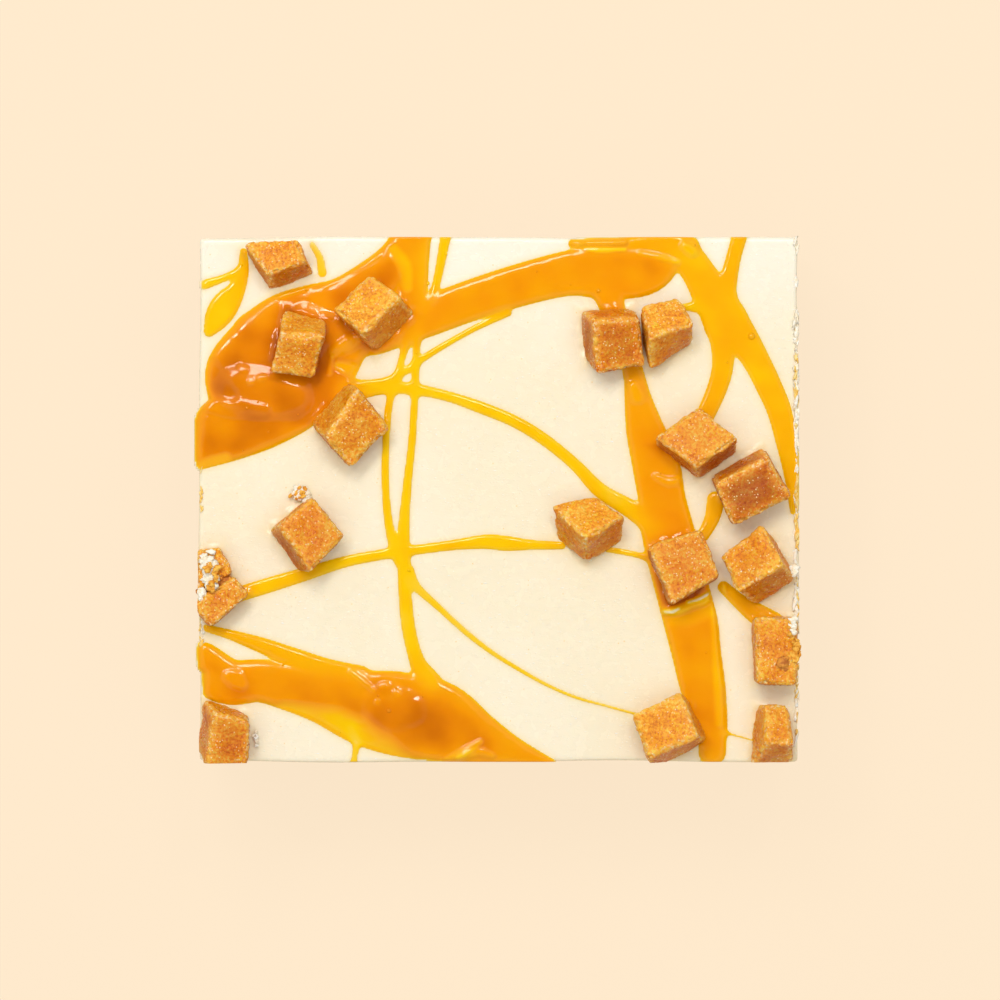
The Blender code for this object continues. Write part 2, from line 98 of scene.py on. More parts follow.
# Caramel. A run is how high it stands, how dark it is, and its chain of (x, y, half width) from end to end.
RUNS = {
    "far_band": (0.55, 0.76, [
        (-12.8, 21.5, 1.3), (-10.0, 23.3, 2.5), (-1.5, 26.5, 2.7), (8.2, 29.2, 2.9), (13.4, 29.6, 3.4),
        (18.0, 29.6, 3.4), (20.7, 30.0, 2.5), (22.8, 30.6, 0.8)]),
    "far_edge": (0.5, 0.6, [(9.8, 33.3, 0.5), (17.3, 33.3, 0.9), (21.2, 33.1, 1.6), (25.1, 33.0, 1.2)]),
    "right_stream": (0.32, 0.5, [
        (21.5, 33.5, 1.2), (24.5, 31.7, 2.0), (26.4, 29.2, 2.2), (28.0, 26.3, 2.5), (29.5, 23.6, 2.7)]),
    "right_inner": (0.32, 0.5, [
        (29.5, 23.1, 2.6), (29.4, 20.1, 1.6), (29.3, 16.8, 1.4), (28.4, 13.8, 1.3), (27.1, 10.9, 1.2),
        (25.9, 7.7, 0.9)]),
    "right_outer": (0.32, 0.5, [
        (30.1, 23.1, 2.6), (31.9, 21.0, 2.1), (33.7, 18.1, 1.8), (35.3, 14.9, 1.7), (36.7, 11.6, 1.6),
        (37.6, 7.7, 1.4), (38.3, 3.2, 1.0), (38.6, -1.5, 0.5)]),
    "right_feeder": (0.28, 0.5, [(31.5, 34.0, 1.0), (30.7, 31.1, 1.0), (29.9, 27.2, 1.3), (29.8, 24.0, 1.8)]),
    "long_line": (0.26, 0.37, [
        (-9.1, 34.3, 0.5), (-9.9, 26.4, 0.5), (-10.4, 20.1, 0.5), (-10.9, 9.0, 0.5), (-11.7, 1.2, 0.6),
        (-12.1, -5.3, 0.8), (-11.7, -15.0, 0.9), (-10.5, -20.6, 1.0), (-8.9, -23.7, 1.6)]),
    "bowed_line": (0.23, 0.34, [
        (-6.6, 34.3, 0.7), (-8.3, 26.6, 0.5), (-11.3, 21.2, 0.5), (-12.8, 16.6, 0.45), (-14.1, 11.6, 0.5),
        (-14.5, 3.0, 0.5), (-13.9, -4.0, 0.6), (-12.6, -7.9, 0.8)]),
    "slant_line": (0.22, 0.35, [
        (1.5, 24.2, 0.4), (-3.5, 21.9, 0.4), (-8.7, 18.9, 0.45), (-12.6, 16.2, 0.5), (-15.4, 14.8, 0.8),
        (-17.8, 14.2, 1.2)]),
    "wide_arc": (0.26, 0.37, [
        (-19.7, 14.2, 1.3), (-15.8, 14.5, 0.9), (-11.3, 14.4, 0.8), (-6.7, 13.5, 0.7), (-2.2, 12.0, 0.8),
        (2.4, 10.1, 0.8), (6.3, 7.7, 0.8), (10.2, 4.5, 0.8), (13.4, 1.2, 1.0), (17.3, -1.2, 1.2),
        (20.6, -3.6, 1.3)]),
    "cross_line": (0.27, 0.38, [
        (-33.4, -12.3, 1.0), (-29.5, -11.1, 1.0), (-24.9, -9.7, 0.9), (-19.7, -8.1, 0.75), (-14.5, -7.1, 0.7),
        (-9.3, -6.4, 0.65), (-5.4, -5.9, 0.7), (-1.5, -5.5, 0.95), (1.1, -5.7, 1.0), (4.3, -5.9, 0.7),
        (8.5, -6.0, 0.5)]),
    "cross_tail": (0.22, 0.35, [(14.4, -6.5, 0.4), (17.3, -7.0, 0.4), (20.5, -7.8, 0.4)]),
    "low_arc": (0.2, 0.29, [
        (-11.5, -9.4, 0.8), (-10.4, -11.4, 0.6), (-7.6, -14.0, 0.45), (-4.1, -17.2, 0.4), (-0.9, -19.7, 0.34),
        (2.4, -21.8, 0.3), (6.3, -24.0, 0.26), (10.2, -25.7, 0.23), (14.1, -26.8, 0.2), (18.1, -27.9, 0.2)]),
    "near_pool": (0.7, 0.78, [
        (-38.5, -21.9, 3.4), (-34.7, -23.7, 3.0), (-30.8, -23.6, 2.8), (-26.9, -24.4, 3.1),
        (-22.3, -25.7, 3.6), (-17.1, -27.1, 4.9), (-12.6, -27.9, 5.5), (-7.8, -28.8, 5.2), (-3.0, -30.9, 3.6),
        (1.7, -32.6, 2.0), (6.9, -34.3, 0.7)]),
    "near_feeder": (0.5, 0.5, [
        (-37.9, -16.7, 0.5), (-34.9, -17.5, 0.65), (-31.0, -18.8, 1.0), (-26.9, -20.3, 1.2),
        (-22.3, -21.8, 1.2), (-17.8, -22.8, 1.2)]),
    "near_drip": (0.2, 0.3, [(-18.8, -29.4, 0.4), (-18.3, -31.9, 0.4), (-18.6, -34.1, 0.4)]),
    "corner_smear": (0.26, 0.4, [
        (-32.9, 32.2, 0.5), (-33.0, 29.8, 0.8), (-33.9, 27.2, 1.2), (-35.3, 25.3, 1.8), (-36.4, 23.6, 1.6),
        (-37.4, 21.9, 0.8)]),
    "corner_tail": (0.25, 0.3, [(-38.1, 27.9, 0.7), (-35.7, 28.7, 0.5), (-33.6, 29.6, 0.5)]),
    "left_stream": (0.7, 0.81, [
        (-11.1, 34.3, 2.2), (-13.1, 30.9, 2.7), (-16.5, 28.3, 2.7), (-20.4, 26.2, 2.6), (-24.3, 25.2, 2.7),
        (-27.5, 23.3, 3.6), (-30.5, 21.0, 3.9)]),
    "left_join": (0.55, 0.7, [(-11.1, 34.3, 2.1), (-11.1, 27.9, 2.0), (-12.1, 23.1, 2.3)]),
    "left_pool": (0.75, 0.88, [
        (-39.1, 8.0, 4.2), (-34.4, 9.3, 4.2), (-30.1, 11.1, 4.4), (-25.8, 13.6, 4.4), (-21.7, 16.6, 3.2),
        (-18.8, 19.2, 1.8)]),
    "pool_heart": (0.75, 0.88, [
        (-36.6, 13.6, 2.4), (-33.0, 14.6, 3.2), (-28.5, 16.6, 3.6), (-24.0, 18.4, 3.0)]),
    "upper_pool": (0.75, 0.86, [
        (-35.7, 15.0, 2.2), (-34.4, 17.0, 3.4), (-31.4, 19.3, 4.2), (-27.5, 20.5, 4.4), (-23.6, 21.4, 3.9),
        (-19.7, 22.0, 3.1), (-16.2, 21.0, 2.3), (-12.6, 21.5, 1.6)]),
    "right_strip": (0.55, 0.74, [
        (14.2, 27.2, 1.8), (16.7, 20.1, 1.4), (17.8, 16.2, 1.4), (18.4, 12.9, 1.8), (19.3, 9.0, 2.5),
        (20.7, 4.5, 3.1), (21.5, -0.1, 3.1), (22.5, -5.3, 3.5), (24.3, -12.4, 3.5), (25.3, -16.3, 3.5),
        (26.0, -20.2, 3.2), (26.9, -24.8, 2.9), (28.0, -29.3, 2.0), (28.0, -32.8, 1.8)]),
    "inner_drop": (0.4, 0.5, [(28.5, -0.1, 1.2), (28.0, -2.4, 1.0), (26.9, -4.6, 0.8)]),
    "outer_drop": (0.45, 0.6, [
        (29.5, -11.4, 0.8), (31.6, -13.3, 1.0), (33.7, -14.8, 1.4), (35.8, -16.1, 1.6)]),
    "smear": (0.2, 0.25, [(24.3, 25.0, 0.5), (25.9, 25.0, 0.65)]),
    "far_film": (0.12, 0.2, [(-24.0, 33.1, 0.4), (-23.0, 31.4, 0.5), (-22.7, 29.5, 0.6)]),
    "faint_line": (0.25, 0.34, [(29.3, -30.2, 0.16), (33.6, -31.4, 0.14)]),
}
CARAMEL_CELL = 0.22
RUN_STEP = 0.7
OUT_OF_REACH = -9.0
# How widely runs flow together, and over what width one's height and shade give way to the next one's.
CARAMEL_FILLET = 0.3
CARAMEL_BLEND = 0.8
# How steeply the caramel rises from its outline, how it falls away beyond that, and how far it goes on there.
CARAMEL_STEEPNESS = 1.3
CARAMEL_FALL = 1.1
CARAMEL_ROOT = 0.35
CARAMEL_BOTTOM = ICING_TOP - 0.9
LEAST_CARAMEL = 0.12
# Pools swell and sink in waves, where they stand between these heights or higher.
POOL_SWELL = 0.14
POOL_WAVE = 8.0
POOL_HEIGHTS = (0.6, 0.7)
# The shade comes in over the first depth up to the thin tint, and over the second beyond it.
THIN_TINT = 0.5
TINT_DEPTH = 0.03
THICK_TINT_DEPTH = 0.7
# Round a cube's foot the caramel is painted darker: partly caramel gathered there, partly painted shadow.
FOOT_SHADE = 0.15
FOOT_SHADE_REACH = 0.8

# Lumps, creases and thin places in the caramel: how much each lifts it, how much darker it makes it, and its
# chain of (x, y, half width). The glint and painted highlight entries are painted paler as painted
# highlights, and the moat's darkening is partly painted shadow.
RELIEF = {
    "pool_crest": (0.55, -0.02, [(-33.6, 14.4, 3.4), (-30.0, 13.8, 4.0), (-26.6, 13.2, 3.2)]),
    "pool_hollow": (-0.25, 0.05, [(-37.2, 17.4, 1.4), (-36.2, 15.0, 2.0), (-34.6, 13.6, 1.4)]),
    "pool_bead": (0.16, -0.05, [(-33.2, 17.2, 0.7), (-32.8, 17.0, 0.7)]),
    "pool_bead_too": (0.14, -0.05, [(-30.8, 15.7, 0.6), (-30.2, 15.8, 0.6)]),
    "pool_bead_low": (0.12, -0.05, [(-32.0, 15.2, 0.5), (-31.8, 15.2, 0.5)]),
    "shelf": (0.25, 0.03, [(-37.4, 12.2, 1.2), (-34.0, 11.8, 1.7), (-30.2, 11.4, 1.2)]),
    "middle_lump": (0.35, -0.04, [(-24.8, 23.8, 2.2), (-22.6, 22.2, 2.8), (-20.6, 20.6, 2.0)]),
    "glint_ridge": (0.3, -0.14, [(-21.2, 19.0, 0.9), (-19.5, 20.0, 1.3), (-18.0, 20.8, 0.9)]),
    "pool_tail": (-0.2, -0.3, [(-38.8, 4.2, 0.9), (-37.6, 4.6, 1.1), (-35.2, 5.4, 0.9)]),
    "thin_window": (-0.3, -0.3, [(-20.6, 17.4, 0.8), (-18.8, 16.8, 1.3), (-17.6, 16.0, 0.9)]),
    "stream_crease": (0.2, -0.12, [(-21.4, 18.5, 0.4), (-21.7, 16.4, 0.5)]),
    "first_cube_rim": (0.25, -0.2, [(-23.6, 31.0, 0.6), (-24.4, 28.2, 0.8), (-28.3, 26.7, 0.8)]),
    "stream_lip": (0.12, -0.1, [(-22.3, 27.9, 0.6), (-19.0, 29.8, 0.6), (-15.5, 31.9, 0.6)]),
    "stream_window": (-0.1, -0.28, [(-13.4, 32.4, 1.0), (-12.0, 30.4, 1.2), (-11.6, 27.6, 0.9)]),
    "pool_streak": (0.16, -0.08, [(-18.9, -22.4, 0.4), (-17.6, -23.4, 0.5), (-16.0, -24.8, 0.4)]),
    "pool_lump": (0.25, 0.02, [(-15.2, -26.8, 2.8), (-13.4, -26.9, 3.6), (-11.4, -27.4, 2.8)]),
    "lump_bead": (0.14, -0.05, [(-15.0, -24.2, 0.6), (-14.4, -24.1, 0.6)]),
    "lump_bead_right": (0.14, -0.05, [(-13.1, -25.1, 0.6), (-12.8, -25.2, 0.6)]),
    "lump_bead_low": (0.12, -0.05, [(-15.6, -26.3, 0.5), (-15.4, -26.3, 0.5)]),
    "pool_dark": (0.1, 0.08, [(-14.0, -28.5, 3.0), (-9.0, -28.6, 4.2), (-5.0, -30.2, 3.0)]),
    "pool_thin_edge": (-0.3, -0.34, [
        (-27.5, -27.6, 1.8), (-21.0, -29.8, 3.4), (-16.6, -32.4, 3.6), (-13.0, -34.4, 2.6)]),
    "pool_left_lump": (0.2, -0.08, [(-34.8, -23.0, 1.1), (-33.8, -23.4, 1.5), (-33.2, -23.9, 1.1)]),
    "near_fold": (0.25, -0.2, [(-6.5, -33.8, 0.5), (-4.4, -32.9, 0.8), (-2.2, -31.5, 0.5)]),
    "near_fold_too": (0.25, -0.15, [(-5.0, -33.6, 0.5), (-2.4, -32.8, 0.8), (-0.6, -33.3, 0.5)]),
    "far_lump": (0.5, 0.05, [(11.4, 33.5, 0.7), (13.6, 33.6, 1.0), (16.4, 33.5, 0.8)]),
    "far_lump_left": (0.35, -0.1, [(9.8, 33.4, 0.7), (10.8, 33.3, 0.7)]),
    "far_lump_right": (0.3, -0.08, [(24.4, 32.9, 0.8), (25.4, 32.2, 1.0)]),
    "far_lip_painted_highlight": (0.2, -0.4, [(10.4, 32.9, 0.3), (13.2, 32.4, 0.45), (16.6, 32.5, 0.3)]),
    "far_lip_right": (0.15, -0.15, [(18.6, 32.0, 0.5), (21.4, 31.4, 0.6), (23.5, 30.8, 0.5)]),
    "strip_glint": (0.25, -0.1, [(17.8, 14.6, 1.0), (18.3, 13.4, 1.3)]),
    "strip_crease": (0.2, -0.1, [(20.6, 3.0, 0.5), (22.4, 2.2, 0.8), (24.0, 2.6, 0.7)]),
    "moat_with_painted_shadow": (0.1, 0.3, [
        (18.8, -7.0, 0.8), (20.2, -10.4, 1.0), (21.8, -12.9, 1.3), (24.2, -12.4, 1.2), (27.6, -10.8, 1.0)]),
    "moat_crest_painted_highlight": (0.35, -0.3, [
        (21.4, -14.6, 0.6), (23.6, -14.4, 0.8), (25.2, -13.7, 0.8), (26.8, -13.2, 0.8), (28.4, -11.9, 0.6)]),
    "moat_glint": (0.1, -0.55, [(24.8, -13.3, 0.3), (26.2, -12.9, 0.4), (27.8, -12.0, 0.3)]),
    "moat_glint_left": (0.1, -0.45, [(21.4, -14.5, 0.3), (22.8, -14.6, 0.4), (23.6, -14.2, 0.3)]),
    "moat_slope": (-0.1, -0.12, [(21.9, -15.6, 1.0), (24.6, -15.4, 1.4), (27.4, -14.6, 1.2)]),
    "strip_tail_line": (0.12, -0.24, [
        (28.2, -13.4, 0.6), (28.6, -18.3, 0.9), (28.8, -23.5, 0.9), (29.0, -29.0, 0.8)]),
    "corner_drop_painted_highlight": (0.3, -0.2, [(29.5, -10.8, 0.5), (29.4, -12.8, 0.6)]),
}

# Where the caramel ends on the left, as (y, x): it hangs over the cut in two places and is notched between.
LEFT_OUTLINE = [
    (-34.1, -38.6), (-26.3, -38.25), (-22.6, -38.3), (-21.8, -38.9), (-18.6, -39.0), (-17.9, -38.4),
    (-0.6, -38.5), (3.2, -38.8), (5.1, -39.2), (10.3, -39.25), (11.4, -38.9), (12.2, -38.4), (12.9, -37.5),
    (14.5, -37.8), (16.8, -38.5), (19.4, -38.15), (21.0, -38.5), (34.1, -38.6),
]

# Bubbles in the caramel, as (x, y, radius).
BUBBLES = [
    (33.1, 21.2, 0.5), (13.2, 27.1, 0.32), (-14.0, -27.4, 0.34), (-13.1, -24.5, 0.22), (-15.4, -25.5, 0.2),
    (-32.4, 11.9, 0.24), (-31.0, 12.6, 0.16), (-24.8, 27.2, 0.16), (-25.8, 11.0, 0.14), (-29.6, 8.8, 0.2),
    (-33.0, 6.4, 0.14), (22.6, -18.6, 0.14), (27.2, -19.9, 0.16), (9.6, 27.9, 0.14), (5.2, 29.6, 0.14),
    (-27.8, -21.5, 0.2), (-12.2, -19.9, 0.2), (-11.4, -9.2, 0.24), (29.9, 17.8, 0.18), (29.3, 33.2, 0.26),
    (25.6, 33.0, 0.24), (20.6, -24.9, 0.12), (-9.6, -25.6, 0.14), (-20.4, -30.3, 0.16), (-33.2, 30.4, 0.2),
    (-10.4, 19.0, 0.16), (-9.0, 28.1, 0.3), (-8.6, 27.3, 0.2), (-6.6, 31.9, 0.2), (21.3, 3.4, 0.18),
]

# Fudge. Each cube is laid out as it is seen from above: its thickness, then the corners of its top face and
# of its foot, both from the near left one round to the far left one. The foot's offset gives the lean.
FUDGE_CUBES = [
    (5.8, ((-29.5, 28.9), (-24.4, 30.7), (-25.8, 33.9), (-32.9, 33.4)),
     ((-29.3, 27.1), (-23.8, 29.2), (-25.6, 32.2), (-32.7, 31.7))),
    (6.6, ((-21.3, 24.7), (-17.4, 21.0), (-12.4, 26.1), (-16.4, 29.2)),
     ((-19.6, 22.8), (-15.7, 18.7), (-10.5, 24.0), (-14.5, 27.2))),
    (6.2, ((-29.3, 16.3), (-23.7, 15.4), (-22.0, 21.1), (-28.0, 21.5)),
     ((-28.8, 19.2), (-23.5, 17.9), (-22.1, 23.3), (-27.5, 25.0))),
    (6.2, ((-22.2, 7.8), (-18.8, 3.9), (-13.7, 9.2), (-18.0, 14.5)),
     ((-24.5, 9.9), (-20.5, 5.9), (-14.9, 10.7), (-19.2, 15.4))),
    (6.2, ((-28.2, -3.3), (-24.0, -9.6), (-19.6, -4.7), (-23.6, 0.5)),
     ((-29.7, -4.0), (-25.7, -9.6), (-21.2, -5.4), (-25.1, -0.2))),
    (5.0, ((-38.8, -12.2), (-34.2, -9.5), (-35.8, -6.1), (-38.7, -6.6)),
     ((-39.1, -12.4), (-34.4, -9.7), (-36.0, -6.3), (-39.0, -6.8))),
    (5.0, ((-39.6, -13.4), (-36.9, -16.7), (-32.0, -12.2), (-34.0, -10.0)),
     ((-40.1, -13.3), (-37.4, -16.7), (-32.5, -12.2), (-34.5, -9.9))),
    (6.0, ((-37.7, -34.7), (-32.1, -34.7), (-31.7, -28.6), (-36.4, -27.4)),
     ((-39.0, -32.8), (-33.2, -33.2), (-32.6, -27.9), (-38.2, -25.5))),
    (6.2, ((12.9, 16.1), (19.3, 17.2), (18.6, 23.4), (12.3, 23.2)),
     ((11.2, 18.1), (17.6, 19.2), (17.6, 25.2), (10.7, 24.6))),
    (6.2, ((19.5, 20.8), (25.6, 22.7), (23.4, 26.5), (18.5, 25.1)),
     ((19.8, 16.3), (25.4, 20.0), (23.7, 23.3), (18.8, 21.4))),
    (6.0, ((20.2, 8.1), (25.6, 4.1), (31.3, 7.9), (26.1, 12.1)),
     ((20.7, 6.6), (26.3, 2.5), (31.5, 6.2), (26.6, 10.3))),
    (6.4, ((28.0, 1.9), (30.5, -3.7), (38.2, 0.1), (35.0, 5.7)),
     ((27.7, 3.2), (30.1, -2.0), (37.6, 1.5), (34.6, 7.0))),
    (6.2, ((6.9, -0.6), (11.3, -5.1), (16.7, -2.1), (12.9, 0.6)),
     ((7.8, -5.7), (11.6, -8.3), (16.3, -5.7), (12.6, -3.3))),
    (6.4, ((19.4, -6.0), (22.6, -13.6), (28.9, -10.0), (26.5, -3.7)),
     ((19.3, -6.4), (22.4, -14.0), (28.6, -10.5), (26.2, -4.1))),
    (6.4, ((28.8, -7.3), (30.8, -11.9), (37.1, -8.3), (34.1, -2.9)),
     ((31.8, -9.0), (33.8, -14.0), (38.9, -10.5), (36.7, -5.4))),
    (6.0, ((33.5, -23.9), (38.8, -24.1), (38.8, -15.3), (33.2, -15.2)),
     ((33.3, -24.0), (38.9, -24.1), (38.9, -15.3), (33.1, -15.3))),
    (6.2, ((17.3, -27.8), (19.3, -33.5), (26.1, -30.7), (23.7, -24.7)),
     ((18.4, -29.1), (20.6, -35.3), (27.5, -31.5), (25.0, -25.9))),
    (6.0, ((34.9, -31.3), (38.4, -31.6), (37.7, -26.4), (34.4, -26.3)),
     ((32.7, -34.6), (38.4, -34.6), (38.0, -28.9), (33.2, -27.0))),
]
# How much darker each cube is than the palest.
FUDGE_TONES = [0.2, 0.0, 0.3, 0.3, 0.5, 0.2, 0.4, 0.55, 0.65, 0.1, 0.35, 1.0, 0.1, 0.5, 0.3, 0.3, 0.1, 0.3]
# How much of its height a cube is pressed into the icing, and how far at most.
SUNK_SHARE = 0.27
DEEPEST_SUNK = 2.7
FUDGE_STEPS = 30
# The rounding of a worn edge, how far in from it the surface is pale, partly wear and partly painted
# highlight, and where a cube's tone is full.
WORN_EDGE = 0.72
PALE_EDGE = 0.9
FULL_TONE = 2.0
# Sides that face away from the window get painted shade, a darker brown, and sides that face it painted
# light, a paler gold.
TOWARDS_WINDOW = Vector((-0.3, 0.95, 0.0))

# Loose crumbs: clumps of (x, y, z, spread along x, y and z, how many, size).
PALE_CRUMBS = [
    (-37.3, -8.4, 30.0, 0.5, 0.9, 0.1, 60, 0.7),
    (-37.0, -10.4, 29.9, 0.55, 0.8, 0.1, 45, 0.65),
    (-38.1, -12.4, 29.7, 0.25, 1.1, 0.1, 26, 0.45),
    (23.8, -30.2, 30.6, 0.9, 0.5, 0.1, 14, 0.3),
    (31.9, -9.4, 30.8, 0.2, 0.4, 0.05, 7, 0.35),
    (-25.6, 0.9, 26.6, 0.9, 0.6, 0.2, 22, 0.6),
    (-24.6, 0.2, 26.6, 0.5, 0.4, 0.2, 10, 0.5),
    (38.4, -9.2, 28.6, 0.3, 0.6, 0.2, 14, 0.6),
    (38.3, -16.2, 30.4, 0.3, 1.0, 0.1, 24, 0.5),
    (-31.3, -30.5, 26.4, 0.3, 1.2, 0.05, 9, 0.35),
]
PALE_RIM = [
    (38.9, 14.0, 26.0, 0.2, 16.0, 0.25, 60, 0.55),
    (38.9, -14.0, 26.0, 0.2, 12.0, 0.25, 50, 0.5),
    (-38.3, -16.0, 26.0, 0.2, 6.0, 0.25, 16, 0.4),
]
GOLDEN_CRUMBS = [
    (-37.3, -8.7, 30.5, 0.4, 0.5, 0.1, 6, 0.5),
    (-36.4, -9.7, 30.4, 0.3, 0.6, 0.1, 7, 0.5),
    (-36.8, -11.0, 30.3, 0.3, 0.9, 0.1, 9, 0.5),
    (-25.8, 0.4, 26.8, 0.9, 0.5, 0.2, 9, 0.45),
    (-25.0, 1.3, 26.8, 0.5, 0.3, 0.2, 5, 0.4),
    (38.6, -19.4, 30.2, 0.4, 1.8, 0.3, 22, 0.5),
    (37.9, -16.6, 30.4, 0.3, 0.9, 0.2, 6, 0.45),
]
GOLDEN_RIM = [
    (38.9, 15.6, 26.2, 0.2, 5.0, 0.2, 26, 0.45),
    (39.0, -1.0, 26.1, 0.15, 8.0, 0.2, 34, 0.45),
    (39.0, -20.0, 26.1, 0.15, 12.0, 0.2, 26, 0.4),
    (-38.4, 0.0, 26.1, 0.1, 5.0, 0.2, 8, 0.35),
    (-38.5, -17.0, 26.1, 0.15, 3.0, 0.2, 12, 0.4),
]
FUDGE_CRUMBS = [
    (-35.6, -10.6, 28.8, 0.9, 0.7, 0.3, 12, 0.85),
    (-37.4, -11.8, 28.7, 0.9, 0.7, 0.3, 12, 0.85),
    (37.0, -21.3, 30.3, 0.4, 0.4, 0.15, 9, 0.8),
]

# Lamps, in metres and watts: place, size and power.
LAMPS = {
    "softbox": ((-0.1, 0.3, 0.5), (0.155, 0.12), 0.78),
    "overhead": ((0.0, 0.0, 0.9), (1.2, 1.2), 5.3),
    "glint": ((0.1, 0.28, 0.62), (0.08, 0.08), 0.5),
    "side_glint": ((-0.22, 0.2, 0.6), (0.08, 0.08), 0.5),
}
# How bright a white surface is that faces the light.
LIGHT_LEVEL = 1.17

# The floor, 3 m out each way, glows a little so that it is evenly peach.
PEACH = (255, 234, 205)
FLOOR_SIZE = 3.0
FLOOR_SHARE = 0.08
FLOOR_GLOW = 0.906

# The camera: how far above the icing, over which point, and its lens and sensor.
CAMERA_HEIGHT = 650.0
CAMERA_AIM = (0.42, -0.07)
CAMERA_LENS = 180.0
CAMERA_SENSOR = 36.0


# ---------------------------------------------------------------- finishes


def linear(channel):
    channel /= 255
    return channel / 12.92 if channel <= 0.04045 else ((channel + 0.055) / 1.055) ** 2.4


def seen(red, green, blue):
    """The surface colour that looks like this one, from 0 to 255, where the light falls straight on it."""
    return tuple(linear(c) / LIGHT_LEVEL for c in (red, green, blue))


class Value:
    """A shader socket with arithmetic: an expression on values adds the Math nodes that work it out."""

    def __init__(self, owner, socket):
        self.owner = owner
        self.socket = socket

    def sum(self, operation, *terms):
        return self.owner.node("ShaderNodeMath", {"operation": operation}, dict(enumerate(terms)))

    def __add__(self, other):
        return self.sum("ADD", self, other)

    def __sub__(self, other):
        return self.sum("SUBTRACT", self, other)

    def __rsub__(self, other):
        return self.sum("SUBTRACT", other, self)

    def __mul__(self, other):
        return self.sum("MULTIPLY", self, other)

    def __gt__(self, other):
        return self.sum("GREATER_THAN", self, other)

    def __lt__(self, other):
        return self.sum("LESS_THAN", self, other)

    __radd__ = __add__
    __rmul__ = __mul__

    def between(self, low, high):
        """0 up to low, 1 from high, and a soft step between them."""
        settings = {"interpolation_type": "SMOOTHSTEP"}
        sockets = {"Value": self, "From Min": low, "From Max": high}
        return self.owner.node("ShaderNodeMapRange", settings, sockets)


class Nodes:
    """A node tree, with one method that adds any node."""

    def __init__(self, tree):
        self.tree = tree

    def find(self, sockets, key):
        if isinstance(key, int):
            return sockets[key]
        return next(s for s in sockets if s.identifier == key or s.name == key)

    def feed(self, socket, value):
        if isinstance(value, Value):
            self.tree.links.new(value.socket, socket)
        elif isinstance(value, tuple) and len(value) == 3 and len(socket.default_value) == 4:
            socket.default_value = (*value, 1.0)
        else:
            socket.default_value = value

    def node(self, kind, settings=None, sockets=None, out=0):
        made = self.tree.nodes.new(kind)
        for name, value in (settings or {}).items():
            if name == "stops":
                self.set_stops(made.color_ramp.elements, value)
            else:
                setattr(made, name, value)
        for key, value in (sockets or {}).items():
            self.feed(self.find(made.inputs, key), value)
        return Value(self, self.find(made.outputs, out))

    def set_stops(self, elements, stops):
        while len(elements) < len(stops):
            elements.new(1.0)
        for element, (position, colour) in zip(elements, stops):
            element.position = position
            element.color = (*colour, 1.0)


class Finish(Nodes):
    """A material in the making."""

    def __init__(self, name, **constants):
        self.material = bpy.data.materials.new(name)
        self.material.use_nodes = True
        super().__init__(self.material.node_tree)
        self.shader = self.tree.nodes["Principled BSDF"]
        self.wear(**constants)
        sockets = {"Vector": self.node("ShaderNodeTexCoord", out="Object"), "Scale": 1 / MM}
        self.place = self.node("ShaderNodeVectorMath", {"operation": "SCALE"}, sockets)

    def wear(self, **inputs):
        for socket, value in inputs.items():
            self.feed(self.shader.inputs[socket.replace("_", " ")], value)
        return self.material

    def attribute(self, name):
        return self.node("ShaderNodeAttribute", {"attribute_name": name}, out="Fac")

    def stretched(self, x, y, z):
        return self.node("ShaderNodeMapping", sockets={"Vector": self.place, "Scale": (x, y, z)})

    def grain(self, per_mm, detail=2.0, roughness=0.5, place=None):
        sockets = {"Vector": place or self.place, "Scale": per_mm, "Detail": detail, "Roughness": roughness}
        return self.node("ShaderNodeTexNoise", sockets=sockets)

    def cells(self, per_mm):
        sockets = {"Vector": self.place, "Scale": per_mm}
        return self.node("ShaderNodeTexVoronoi", sockets=sockets, out="Distance")

    def ramp(self, value, *stops):
        return self.node("ShaderNodeValToRGB", {"stops": stops}, {"Fac": value})

    def mixed(self, share, first, second, blend="MIX"):
        sockets = {"Factor_Float": share, "A_Color": first, "B_Color": second}
        settings = {"data_type": "RGBA", "blend_type": blend}
        return self.node("ShaderNodeMix", settings, sockets, "Result_Color")

    def bumps(self, height, distance, strength=1.0):
        sockets = {"Height": height, "Distance": distance * MM, "Strength": strength}
        return self.node("ShaderNodeBump", sockets=sockets)


def icing_finish():
    f = Finish("icing", Subsurface_Weight=0.2, Subsurface_Radius=(1.0, 0.75, 0.5), Subsurface_Scale=1.0 * MM)
    colour = f.mixed(f.grain(0.06, 2.0).between(0.35, 0.65), seen(252, 239, 208), seen(254, 242, 214))
    # Painted light: the icing is painted whiter towards the far side.
    colour = f.mixed(f.attribute("bleached") * 0.45, colour, seen(255, 252, 240))
    # A painted warm glow along the caramel and a painted warm shadow round each cube's foot.
    colour = f.mixed(f.attribute("stain") * 0.6, colour, seen(254, 224, 158))
    specks = (f.cells(1.1) < 0.11) * (f.grain(0.5, 0.0) > 0.62)
    colour = f.mixed(specks * 0.6, colour, seen(250, 206, 110))
    dashes = f.grain(1.0, 2.0, 0.6, f.stretched(1.7, 4.2, 2.0))
    # Painted glints: the tops of the dashes are painted near-white.
    colour = f.mixed(dashes.between(0.67, 0.71) * 0.9, colour, seen(255, 254, 248))
    height = dashes * 0.3 + f.grain(3.2, 1.0) * 0.1 + dashes.between(0.62, 0.7) * 0.7
    rough = f.grain(0.5, 2.0) * 0.2 + 0.16
    return f.wear(Base_Color=colour, Roughness=rough, Normal=f.bumps(height, 0.08, 0.5))


